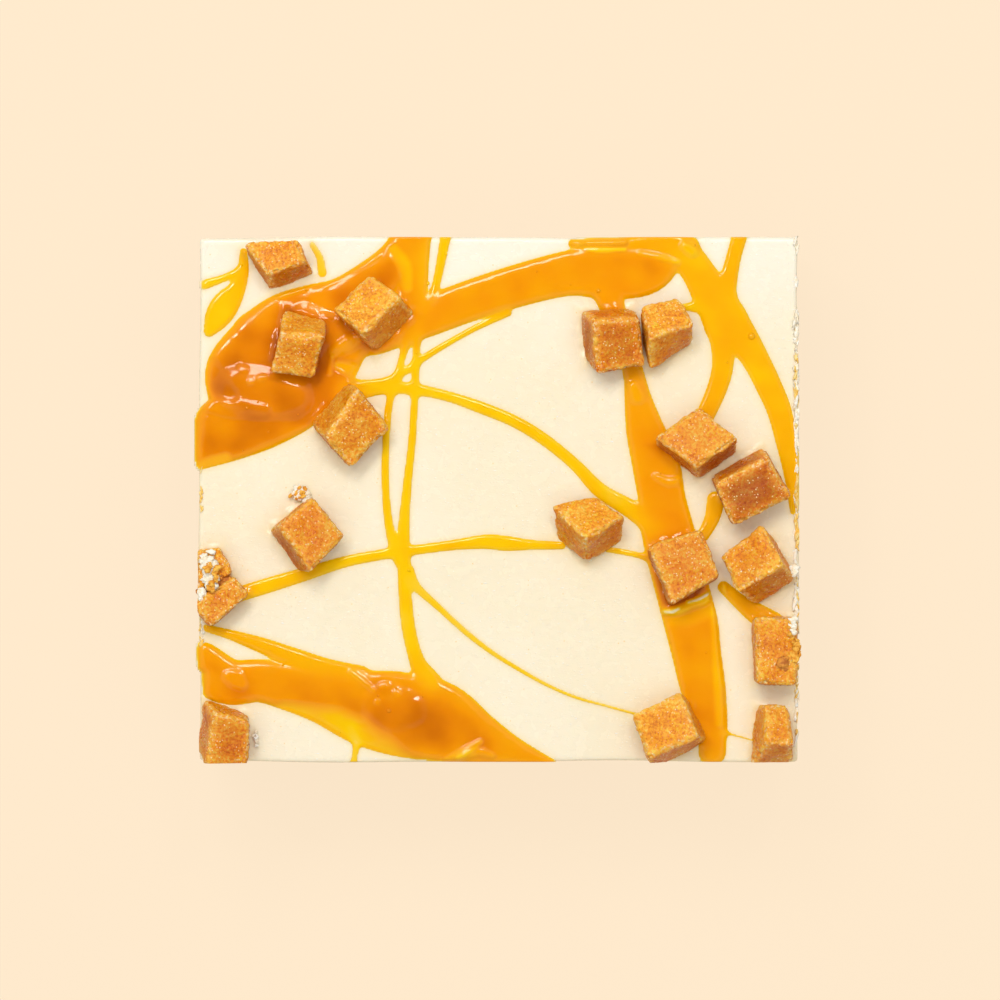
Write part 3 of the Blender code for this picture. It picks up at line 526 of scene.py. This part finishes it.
def caramel_finish():
    f = Finish(
        "caramel", Subsurface_Weight=0.1, Subsurface_Radius=(1.0, 0.5, 0.1), Subsurface_Scale=1.2 * MM,
        Specular_IOR_Level=0.4, Specular_Tint=(1.0, 0.94, 0.88),
    )
    shade = f.attribute("shade") + (f.grain(0.3, 2.0) - 0.5) * 0.1
    colour = f.ramp(
        shade,
        (0.0, seen(254, 240, 207)), (0.1, seen(255, 226, 130)), (0.22, seen(254, 207, 50)),
        (0.34, seen(255, 203, 2)), (0.44, seen(255, 192, 1)), (0.5, seen(254, 182, 1)),
        (0.62, seen(251, 167, 1)), (0.74, seen(247, 153, 1)), (0.83, seen(232, 131, 1)),
        (0.91, seen(212, 113, 2)), (1.0, seen(178, 84, 3)),
    )
    ripples = f.bumps(f.grain(0.9, 1.0), 0.03, 0.4)
    return f.wear(Base_Color=colour, Roughness=f.grain(0.8) * 0.08 + 0.07, Normal=ripples)


def fudge_finish():
    f = Finish(
        "fudge", Subsurface_Weight=0.25, Subsurface_Radius=(1.0, 0.45, 0.12), Subsurface_Scale=0.8 * MM,
        Specular_IOR_Level=0.4,
    )
    mottle = f.grain(0.4, 2.0, 0.5)
    sugar = f.grain(2.7, 3.0, 0.7)
    cut = f.attribute("cut")
    colour = f.ramp(
        mottle * 0.3 + sugar * 0.7,
        (0.38, seen(222, 124, 10)), (0.45, seen(248, 157, 20)), (0.53, seen(255, 180, 34)),
        (0.61, seen(255, 216, 96)),
    )
    # The ramp multiplies in the darkness that cut carries: the cube's tone and painted shade on sides turned
    # from the window.
    darker = f.ramp(cut, (0.0, (1.0, 1.0, 1.0)), (0.5, (0.86, 0.64, 0.46)), (1.0, (0.56, 0.32, 0.22)))
    colour = f.mixed(1.0, colour, darker, "MULTIPLY")
    wet = f.grain(0.28, 1.0).between(0.42, 0.6)
    colour = f.mixed(wet * 0.8, colour, (1.0, 0.93, 0.3), "MULTIPLY")
    # Painted light: where cut is below 0, on steep sides facing the window, the colour is painted paler.
    colour = f.mixed(cut * -1.6, colour, seen(255, 206, 88))
    rim = f.attribute("edge")
    # Paler along worn edges, partly wear and partly painted highlight. The frost is white sugar specks, and
    # along the edges partly painted highlight.
    colour = f.mixed(rim * f.grain(1.4, 3.0, 0.6).between(0.4, 0.56) * 0.7, colour, seen(255, 204, 84))
    frost = (f.cells(2.2) < 0.2) * (f.grain(0.8, 0.0) > 0.44) + rim * f.grain(2.4, 2.0).between(0.56, 0.62)
    colour = f.mixed(frost * 0.85, colour, seen(255, 230, 172))
    return f.wear(Base_Color=colour, Roughness=0.55 - wet * 0.3, Normal=f.bumps(sugar, 0.19, 0.9))


def sponge_finish():
    f = Finish("sponge", Subsurface_Weight=0.1, Subsurface_Radius=(1.0, 0.7, 0.4), Subsurface_Scale=1.0 * MM)
    crumb = f.grain(0.9, 5.0, 0.7)
    colour = f.ramp(
        crumb, (0.32, seen(206, 142, 66)), (0.47, seen(244, 198, 122)), (0.64, seen(255, 232, 176)),
    )
    colour = f.mixed(f.attribute("crust") * 0.85, colour, seen(204, 132, 58))
    # Painted shade: the pits are painted darker.
    colour = f.mixed(f.attribute("pit") * 0.7, colour, seen(196, 126, 54))
    return f.wear(Base_Color=colour, Roughness=0.8, Normal=f.bumps(f.grain(1.8, 4.0, 0.75), 0.35, 1.0))


def crumb_finish(name, dark, pale):
    f = Finish(name)
    colour = f.mixed(f.grain(1.6, 3.0).between(0.35, 0.65), dark, pale)
    return f.wear(Base_Color=colour, Roughness=0.7, Normal=f.bumps(f.grain(4.0, 2.0), 0.12, 0.8))


# ---------------------------------------------------------------- shared shapes


def wander(along, phase):
    """How far a knife cut strays, from -1 to 1, at a distance along it."""
    return 0.6 * math.sin(along / 9.0 + phase) + 0.4 * math.sin(along / 4.1 + 2.3 * phase)


def soft_step(value, low, high):
    """0 up to low, 1 from high, and a soft step between them."""
    share = np.clip((value - low) / (high - low), 0.0, 1.0)
    return share * share * (3 - 2 * share)


def waves(x, y, size, seed, count=14):
    """A smooth random surface, mostly from -1 to 1, with bumps of about one size."""
    draw = random.Random(seed)
    total = 0.0
    for _ in range(count):
        angle = draw.uniform(0, TAU)
        pitch = TAU / (size * draw.uniform(0.7, 1.6))
        phase = draw.uniform(0, TAU)
        total = total + np.sin((x * math.cos(angle) + y * math.sin(angle)) * pitch + phase)
    return total * math.sqrt(2 / count) / 2


def gathered(share, length):
    """A distance along an edge, with the cells near its ends drawn towards them."""
    along = share * length
    from_end = min(along, length - along)
    if from_end < GATHER_REACH:
        from_end = GATHER_REACH * (from_end / GATHER_REACH) ** GATHER_POWER
    return from_end if share < 0.5 else length - from_end


def cut_block(bottom, top, cell, rounding, up):
    """A block between the knife cuts, in small cells. With up at 1 its top rim is rounded, and with up at -1
    its bottom one. The face across from that is one flat face."""
    start = Vector((LEFT_SIDE, NEAR_SIDE, bottom))
    size = Vector((RIGHT_SIDE, FAR_SIDE, top)) - start
    bm = bmesh.new()
    bmesh.ops.create_cube(bm, size=1.0)
    bmesh.ops.delete(bm, geom=[f for f in bm.faces if f.normal.z * up < -0.5], context="FACES_ONLY")
    for axis in range(3):
        edges = [e for e in bm.edges if abs(e.verts[0].co[axis] - e.verts[1].co[axis]) > 0.5]
        bmesh.ops.subdivide_edges(bm, edges=edges, cuts=round(size[axis] / cell) - 1, use_grid_fill=True)
    low = start + Vector((rounding, rounding, rounding if up < 0 else 0.0))
    high = start + size - Vector((rounding, rounding, rounding if up > 0 else 0.0))
    for v in bm.verts:
        share = v.co + Vector((0.5, 0.5, 0.5))
        at = start + Vector([gathered(s, length) for s, length in zip(share, size)])
        core = Vector([max(a, min(b, c)) for a, b, c in zip(low, high, at)])
        at = core + (at - core).normalized() * rounding
        v.co.x = at.x + CUT_WANDER * wander(at.y + at.z / 3, 1.0) * (2 * share.x - 1)
        v.co.y = at.y + CUT_WANDER * wander(at.x + at.z / 3, 2.2) * (2 * share.y - 1)
        v.co.z = at.z
    bmesh.ops.holes_fill(bm, edges=[e for e in bm.edges if e.is_boundary], sides=0)
    bmesh.ops.recalc_face_normals(bm, faces=bm.faces)
    bm.normal_update()
    return bm


def placed(name, data):
    """A new object in the scene."""
    made = bpy.data.objects.new(name, data)
    bpy.context.scene.collection.objects.link(made)
    return made


def finished(name, bm, material, stands_for, slot, **attributes):
    """Scales a piece to metres, gives it its finish and attributes, and hands it to the frame."""
    for v in bm.verts:
        v.co = Vector([max(low, min(high, c)) for low, high, c in zip(CAD_LOW, CAD_HIGH, v.co)])
    mesh = bpy.data.meshes.new(name)
    bmesh.ops.transform(bm, matrix=Matrix.Scale(MM, 4), verts=bm.verts)
    bm.to_mesh(mesh)
    bm.free()
    mesh.materials.append(material)
    mesh.shade_smooth()
    for attribute, values in attributes.items():
        layer = mesh.attributes.new(attribute, "FLOAT", "POINT")
        layer.data.foreach_set("value", np.asarray(values, np.float32))
    piece = placed(name, mesh)
    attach(piece, "root")
    if stands_for:
        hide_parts(stands_for)
    return piece


def places(bm):
    """The x, y and z of a mesh's points, as three arrays."""
    return np.array([v.co for v in bm.verts]).reshape(-1, 3).T


# ---------------------------------------------------------------- fudge


def fudge_body(cube):
    """A cube's eight corners, its foot's and then its top's. It is tipped so that it keeps its thickness, and
    its lowest corner is pressed into the icing."""
    thick, top, foot = cube
    top, foot = ([Vector((*corner, 0.0)) for corner in face] for face in (top, foot))
    middles = [sum(face, Vector()) / 4 for face in (foot, top)]
    lean = (middles[1] - middles[0]) / thick
    up = Vector((lean.x, lean.y, math.sqrt(1 - lean.length_squared)))
    for face, middle, height in zip((foot, top), middles, (-thick * up.z, 0.0)):
        for corner in face:
            corner.z = height - up.dot(corner - middle) / up.z
    low, high = (pick(corner.z for corner in foot + top) for pick in (min, max))
    seat = ICING_TOP - min(DEEPEST_SUNK, SUNK_SHARE * (high - low)) - low
    for corner in foot + top:
        corner.z += seat
    return foot + top


SEATED = [fudge_body(cube) for cube in FUDGE_CUBES]


def foot_outlines():
    """Each cube's outline where it meets the top of the icing."""
    feet = []
    for corners in SEATED:
        foot = []
        for low, high in zip(corners[:4], corners[4:]):
            share = max(0.0, min(1.0, (ICING_TOP - low.z) / (high.z - low.z)))
            foot.append(low.lerp(high, share).xy)
        feet.append(foot)
    return feet


FEET = foot_outlines()


def foot_distance(x, y):
    """How far points are from the nearest cube's foot, and below 0 under a cube."""
    nearest = np.full(np.shape(x), -OUT_OF_REACH)
    for foot in FEET:
        apart = np.full(np.shape(x), OUT_OF_REACH)
        for start, stop in zip(foot, foot[1:] + foot[:1]):
            along = (stop - start).normalized()
            apart = np.maximum(apart, (x - start.x) * along.y - (y - start.y) * along.x)
        nearest = np.minimum(nearest, apart)
    return nearest


def within(corners, share):
    """The point at shares of a cube's width, depth and thickness."""
    wide, deep, thick = share
    near_left, near_right, far_right, far_left = (
        low.lerp(high, thick) for low, high in zip(corners[:4], corners[4:])
    )
    return near_left.lerp(near_right, wide).lerp(far_left.lerp(far_right, wide), deep)


def slice_off(bm, point, outward):
    """Cuts away what lies beyond a plane and closes the cut."""
    everything = bm.verts[:] + bm.edges[:] + bm.faces[:]
    cut = bmesh.ops.bisect_plane(bm, geom=everything, plane_co=point, plane_no=outward, clear_outer=True)
    edges = [g for g in cut["geom_cut"] if isinstance(g, bmesh.types.BMEdge)]
    if edges:
        bmesh.ops.holes_fill(bm, edges=edges, sides=0)


def trim_to_cuts(bm):
    """Cuts away what reaches past the slab's four sides."""
    for point, outward in (
        ((LEFT_SIDE, 0, 0), (-1, 0, 0)),
        ((RIGHT_SIDE + CUT_WANDER, 0, 0), (1, 0, 0)),
        ((0, FAR_SIDE, 0), (0, 1, 0)),
        ((0, NEAR_SIDE, 0), (0, -1, 0)),
    ):
        slice_off(bm, Vector(point), Vector(outward))


def fudge_cube(number, corners, tone, material):
    """One cube with worn and chipped edges. Its points carry how near an edge they are, and its tone with
    painted shade on sides turned away from the window.
    """
    size = [(corners[to] - corners[start]).length for start, to in ((4, 5), (4, 7), (0, 4))]
    half = Vector((0.5, 0.5, 0.5))
    bm = bmesh.new()
    bmesh.ops.create_cube(bm, size=1.0)
    bmesh.ops.subdivide_edges(bm, edges=bm.edges[:], cuts=FUDGE_STEPS - 1, use_grid_fill=True)
    # cut holds the cube's tone, lighter near its edges, and then painted shade by which way each side faces.
    worn, cut = bm.verts.layers.float.new("edge"), bm.verts.layers.float.new("cut")
    for v in bm.verts:
        at = within(corners, v.co + half)
        radius = WORN_EDGE * (1.0 + 0.7 * noise.noise(at * 0.6))
        inset = [radius / s for s in size]
        core = [max(-0.5 + i, min(0.5 - i, c)) for c, i in zip(v.co, inset)]
        out = Vector([(c - k) / i for c, k, i in zip(v.co, core, inset)])
        from_edge = sorted((0.5 - abs(c)) * s for c, s in zip(v.co, size))[1]
        v[worn] = max(0.0, 1.0 - from_edge / PALE_EDGE)
        v[cut] = tone * (0.35 + 0.65 * min(1.0, from_edge / FULL_TONE))
        out.normalize()
        v.co = within(corners, Vector([k + o * i for k, o, i in zip(core, out, inset)]) + half)
    bm.normal_update()
    moves = []
    for v in bm.verts:
        at = v.co + Vector((number * 7.3, 0, 0))
        rough = 0.22 * noise.noise(at * 0.4) + 0.1 * noise.noise(at * 1.5) + 0.1 * noise.noise(at * 3.6)
        chip = max(0.0, noise.noise(at * 1.3) - 0.02) * v[worn] ** 2 * 0.9
        moves.append(v.normal * (rough - chip - 0.03))
        # Painted shade: sides turned away from the window get a higher cut and come out darker; sides facing
        # it go below 0 and are painted paler.
        turned = 0.35 - 0.65 * v.normal.dot(TOWARDS_WINDOW)
        v[cut] = min(1.0, v[cut] + 0.85 * (1 - v.normal.z) * turned)
    for v, move in zip(bm.verts, moves):
        v.co += move
    trim_to_cuts(bm)
    bmesh.ops.recalc_face_normals(bm, faces=bm.faces)
    return finished(f"fudge_{number:02d}", bm, material, f"fudge_cube_{number:02d}", "fudge")


def fudge_cubes():
    material = fudge_finish()
    for number, (corners, tone) in enumerate(zip(SEATED, FUDGE_TONES), 1):
        fudge_cube(number, corners, tone, material)


# ---------------------------------------------------------------- caramel


def smooth_run(points):
    """A smooth curve through a run's own points, as points every RUN_STEP or so with their half widths."""
    ends = [2 * Vector(points[0]) - Vector(points[1])], [2 * Vector(points[-1]) - Vector(points[-2])]
    chain = ends[0] + [Vector(p) for p in points] + ends[1]
    laid = []
    for before, start, stop, after in zip(chain, chain[1:], chain[2:], chain[3:]):
        steps = max(1, round((stop - start).xy.length / RUN_STEP))
        for k in range(steps):
            t = k / steps
            bend = (2 * before - 5 * start + 4 * stop - after) * t * t
            twist = (3 * start - before - 3 * stop + after) * t ** 3
            laid.append(start + 0.5 * ((stop - before) * t + bend + twist))
    laid.append(chain[-2])
    return laid


def run_depth(points, x, y):
    """How far inside a run each point lies, 0 on its outline, and how near its middle line, 1 on it."""
    laid = smooth_run(points)
    inside = np.full(x.shape, OUT_OF_REACH)
    nearness = np.zeros(x.shape)
    for start, stop in zip(laid, laid[1:]):
        reach = max(start.z, stop.z) + 2.0
        near = np.flatnonzero(
            (x > min(start.x, stop.x) - reach) & (x < max(start.x, stop.x) + reach)
            & (y > min(start.y, stop.y) - reach) & (y < max(start.y, stop.y) + reach)
        )
        px, py = x[near] - start.x, y[near] - start.y
        dx, dy = stop.x - start.x, stop.y - start.y
        share = np.clip((px * dx + py * dy) / (dx * dx + dy * dy), 0.0, 1.0)
        half_width = start.z + share * (stop.z - start.z)
        apart = (px - share * dx) ** 2 + (py - share * dy) ** 2
        depth = half_width ** 2 - apart
        inside[near] = np.maximum(inside[near], depth / (2 * half_width))
        nearness[near] = np.maximum(nearness[near], depth / half_width ** 2)
    return inside, nearness


def soft_least(first, second):
    """The lesser of two depths, rounded off where they are alike."""
    return -CARAMEL_FILLET * np.log(np.exp(-first / CARAMEL_FILLET) + np.exp(-second / CARAMEL_FILLET))


def caramel_depth(x, y):
    """How far inside the caramel's outline each point lies, with how high and how dark the runs there are."""
    total, weight, height, shade = (np.zeros(x.shape) for _ in range(4))
    for high, dark, points in RUNS.values():
        inside, _ = run_depth(points, x, y)
        total += np.exp(inside / CARAMEL_FILLET)
        share = np.exp(inside / CARAMEL_BLEND)
        weight += share
        height += share * high
        shade += share * dark
    inside = CARAMEL_FILLET * np.log(total)
    end_y, end_x = zip(*LEFT_OUTLINE)
    return soft_least(inside, x - np.interp(y, end_y, end_x)), height / weight, shade / weight


def caramel_surface(x, y):
    """How thick the caramel is and how dark it looks, with painted highlights and painted shadow where some
    reliefs and the cubes' feet paint them.
    """
    inside, high, dark = caramel_depth(x, y)
    deep = np.maximum(inside, 0.0)
    thick = high * (1 - np.exp(-deep * CARAMEL_STEEPNESS / high)) + np.minimum(inside, 0.0) * CARAMEL_FALL
    swell = POOL_SWELL * waves(x, y, POOL_WAVE, 11)
    thick += swell * soft_step(high, *POOL_HEIGHTS) * soft_step(deep, 0.3, 1.6)
    shade = dark + 0.05 * waves(x, y, 5.0, 8) + 0.04 * waves(x, y, 12.0, 9)
    # Some reliefs paint as well: the glint and painted highlight entries are paler as painted highlights, and
    # the moat's darkening is partly painted shadow.
    for lift, darker, points in RELIEF.values():
        _, nearness = run_depth(points, x, y)
        form = soft_step(nearness, 0.0, 1.0) * soft_step(deep, 0.0, 0.5)
        thick = thick + lift * form
        shade = shade + darker * form
    thick = np.maximum(thick, np.minimum(inside, LEAST_CARAMEL))
    # Painted darker round each cube's foot: partly caramel gathered there, partly painted shadow.
    shade = shade + FOOT_SHADE * np.exp(-np.maximum(foot_distance(x, y), 0.0) / FOOT_SHADE_REACH)
    thin = np.minimum(shade, THIN_TINT) * (1 - np.exp(-deep / TINT_DEPTH))
    return thick, thin + np.maximum(shade - THIN_TINT, 0.0) * (1 - np.exp(-deep / THICK_TINT_DEPTH))


def icing_height(x, y):
    """The top of the icing, away from its rim. It stands up a little round each cube."""
    collar = COLLAR * np.exp(-((foot_distance(x, y) / COLLAR_REACH) ** 2)) * (1 + waves(x, y, 1.6, 5))
    return ICING_TOP + 0.05 * waves(x, y, 14.0, 3) + 0.012 * waves(x, y * 2.2, 2.6, 4) + collar


def caramel():
    """All the runs as one closed pour, from a grid that is cut to their outline and given its underside."""
    low, high = Vector((CAD_LOW.x, NEAR_SIDE)), Vector((RIGHT_SIDE + CUT_WANDER, FAR_SIDE))
    middle, size = (low + high) / 2, high - low
    stretch = Matrix.Diagonal((size.x / 2, size.y / 2, 1.0, 1.0))
    place = Matrix.Translation((middle.x, middle.y, 0.0)) @ stretch
    bm = bmesh.new()
    cells = [round(length / CARAMEL_CELL) for length in size]
    bmesh.ops.create_grid(bm, x_segments=cells[0], y_segments=cells[1], size=1.0, matrix=place)
    x, y, _ = places(bm)
    bare = [v for v, inside in zip(bm.verts, caramel_depth(x, y)[0]) if inside < -CARAMEL_ROOT]
    bmesh.ops.delete(bm, geom=bare, context="VERTS")
    bmesh.ops.delete(bm, geom=[v for v in bm.verts if not v.link_faces], context="VERTS")
    grown = bmesh.ops.extrude_face_region(bm, geom=bm.faces[:])
    under = {g for g in grown["geom"] if isinstance(g, bmesh.types.BMVert)}
    x, y, _ = places(bm)
    thick, shade = caramel_surface(x, y)
    for v, z in zip(bm.verts, icing_height(x, y) + thick):
        v.co.z = CARAMEL_BOTTOM if v in under else z
    bmesh.ops.recalc_face_normals(bm, faces=bm.faces)
    shade = np.clip(shade, 0.0, 1.0)
    return finished("caramel", bm, caramel_finish(), "white_icing", "caramel", shade=shade)


def bubbles():
    """Small domes of caramel over trapped air."""
    x, y, radius = (np.array(values) for values in zip(*BUBBLES))
    thick, _ = caramel_surface(x, y)
    bm = bmesh.new()
    for bx, by, bz, r in zip(x, y, icing_height(x, y) + thick, radius):
        place = Matrix.Translation((bx, by, bz - 0.35 * r))
        bmesh.ops.create_icosphere(bm, subdivisions=3, radius=r, matrix=place)
    x, y, _ = places(bm)
    _, shade = caramel_surface(x, y)
    shade = np.clip(shade, 0.3, 0.8)
    return finished(
        "caramel_bubbles", bm, bpy.data.materials["caramel"], "white_icing", "caramel", shade=shade,
    )


# ---------------------------------------------------------------- slab


def icing():
    """The icing slab. Its points carry a painted warm shadow round cubes, a painted warm glow along the
    caramel, and painted light that whitens it towards the far side.
    """
    bm = cut_block(SPONGE_TOP, ICING_TOP, ICING_CELL, RIM_ROUNDING, 1)
    x, y, z = places(bm)
    lift = (icing_height(x, y) - ICING_TOP) * soft_step(z, ICING_TOP - 2.0, ICING_TOP)
    for v, rise in zip(bm.verts, lift):
        v.co.z += rise
    inside, _, _ = caramel_depth(x, y)
    foot = np.maximum(foot_distance(x, y), 0.0)
    # A painted warm glow along the caramel's edge, and painted warm shadow round each cube's foot.
    stain = np.exp(np.minimum(inside, 0.0) / CARAMEL_PAINTED_GLOW_REACH)
    for strength, reach in FOOT_PAINTED_SHADOWS:
        stain = stain + strength * np.exp(-foot / reach)
    stain = np.clip(stain, 0.0, 1.0) * soft_step(z, ICING_TOP - 1.0, ICING_TOP)
    # Painted light: the icing is whiter towards the far side.
    bleached = soft_step(y, *PAINTED_FAR_LIGHT)
    return finished(
        "white_icing_slab", bm, icing_finish(), "white_icing", "icing", stain=stain, bleached=bleached,
    )


def sponge():
    """The sponge slab, whose cut sides are rough and pitted, with painted shade in the pits. It browns
    towards its foot.
    """
    bm = cut_block(0.0, SPONGE_TOP, SPONGE_CELL, FOOT_ROUNDING, -1)
    pit, crust, moves = [], [], []
    for v in bm.verts:
        size = PIT_SIZE + 0.2 * noise.noise(v.co * 0.17)
        hole = max(0.0, 1.0 - noise.voronoi(v.co * PITS_PER_MM)[0][0] / size)
        side = 1.0 - abs(v.normal.z)
        rough = 0.13 * (1 + noise.noise(v.co * 0.9)) + 0.08 * (1 + noise.noise(v.co * 2.1))
        moves.append(-v.normal * (rough + PIT_DEPTH * hole ** 0.7) * side)
        # The pit's depth also sets how dark it is painted, as painted shade.
        pit.append(hole)
        low = v.co.z + 0.8 * noise.noise(v.co * 0.5)
        crust.append(max(0.0, min(1.0, 1.3 - low / CRUST_HEIGHT)))
    for v, move in zip(bm.verts, moves):
        v.co += move
    return finished("sponge_crumb", bm, sponge_finish(), "blondie_base", "sponge", pit=pit, crust=crust)


# ---------------------------------------------------------------- crumbs


def crumbs(name, clumps, material, slot, seed, shape=(1.0, 1.0, 0.6), turned=TAU):
    """Rough little lumps heaped in clumps."""
    draw = random.Random(seed)
    bm = bmesh.new()
    for x, y, z, wide, deep, high, count, size in clumps:
        for _ in range(count):
            place = Vector([draw.gauss(c, s / 2) for c, s in ((x, wide), (y, deep), (z, high))])
            turn = Euler((0.0, 0.0, draw.uniform(-0.5, 0.5) * turned)).to_matrix().to_4x4()
            stretch = Matrix.Diagonal([size * side * draw.uniform(0.4, 1.0) for side in shape] + [1.0])
            at = Matrix.Translation(place) @ turn @ stretch
            made = bmesh.ops.create_icosphere(bm, subdivisions=3, radius=1.0, matrix=at)
            for v in made["verts"]:
                v.co += (v.co - place) * (0.5 * noise.noise(v.co * 2.0) + 0.5 * noise.noise(v.co * 5.0))
    return finished(name, bm, material, None, slot)


# ---------------------------------------------------------------- stage


def floor():
    mesh = bpy.data.meshes.new("floor")
    bm = bmesh.new()
    bmesh.ops.create_grid(bm, x_segments=1, y_segments=1, size=FLOOR_SIZE)
    bm.to_mesh(mesh)
    bm.free()
    peach = tuple(linear(c) for c in PEACH)
    dim = tuple(c * FLOOR_SHARE for c in peach)
    f = Finish("floor", Roughness=0.9, Specular_IOR_Level=0.0)
    f.wear(Base_Color=dim, Emission_Color=peach, Emission_Strength=FLOOR_GLOW)
    mesh.materials.append(f.material)
    made = placed("floor", mesh)


def lamp(name, place, size, power):
    light = bpy.data.lights.new(name, "AREA")
    light.shape = "RECTANGLE"
    light.size, light.size_y = size
    light.energy = power
    made = placed(name, light)
    made.location = place
    towards = Vector((0, 0, ICING_TOP * MM)) - Vector(place)
    made.rotation_euler = towards.to_track_quat("-Z", "Y").to_euler()
    return made


def lighting():
    """A dim room, a wide soft light overhead, a softbox behind and two small lamps for glints."""
    world = bpy.data.worlds.new("studio")
    world.use_nodes = True
    bpy.context.scene.world = world
    n = Nodes(world.node_tree)
    direction = n.node("ShaderNodeTexCoord", out="Generated")
    up = n.node("ShaderNodeSeparateXYZ", sockets={"Vector": direction}, out="Z")
    glow = (1 - up.between(0.86, 0.95)) * (up.between(0.1, 0.6) * 0.22 + 0.3)
    background = n.tree.nodes["Background"]
    background.inputs["Color"].default_value = (1.0, 0.99, 0.97, 1.0)
    n.feed(background.inputs["Strength"], glow)
    lamps = {name: lamp(name, *settings) for name, settings in LAMPS.items()}
    lamps["overhead"].visible_glossy = False


def camera():
    lens = bpy.data.cameras.new("camera")
    lens.lens = CAMERA_LENS
    lens.sensor_width = CAMERA_SENSOR
    made = placed("camera", lens)
    made.location = (CAMERA_AIM[0] * MM, CAMERA_AIM[1] * MM, (ICING_TOP + CAMERA_HEIGHT) * MM)
    bpy.context.scene.camera = made
    bpy.context.scene.view_settings.view_transform = "Standard"


camera()
lighting()
floor()
sponge()
icing()
caramel()
bubbles()
fudge_cubes()
pale = crumb_finish("pale_crumb", seen(255, 238, 204), seen(255, 252, 238))
golden = crumb_finish("golden_crumb", seen(232, 150, 24), seen(254, 196, 74))
straw = crumb_finish("straw_crumb", seen(252, 198, 80), seen(255, 228, 148))
brown = crumb_finish("fudge_crumb", seen(196, 110, 34), seen(236, 158, 54))
crumbs("pale_crumbs", PALE_CRUMBS, pale, "sponge", 5)
crumbs("golden_crumbs", GOLDEN_CRUMBS, golden, "fudge", 6)
crumbs("fudge_crumbs", FUDGE_CRUMBS, brown, "fudge", 7)
crumbs("pale_rim", PALE_RIM, pale, "sponge", 8, (0.6, 2.2, 0.6), 0.6)
crumbs("golden_rim", GOLDEN_RIM, straw, "fudge", 9, (0.5, 2.0, 0.5), 0.9)
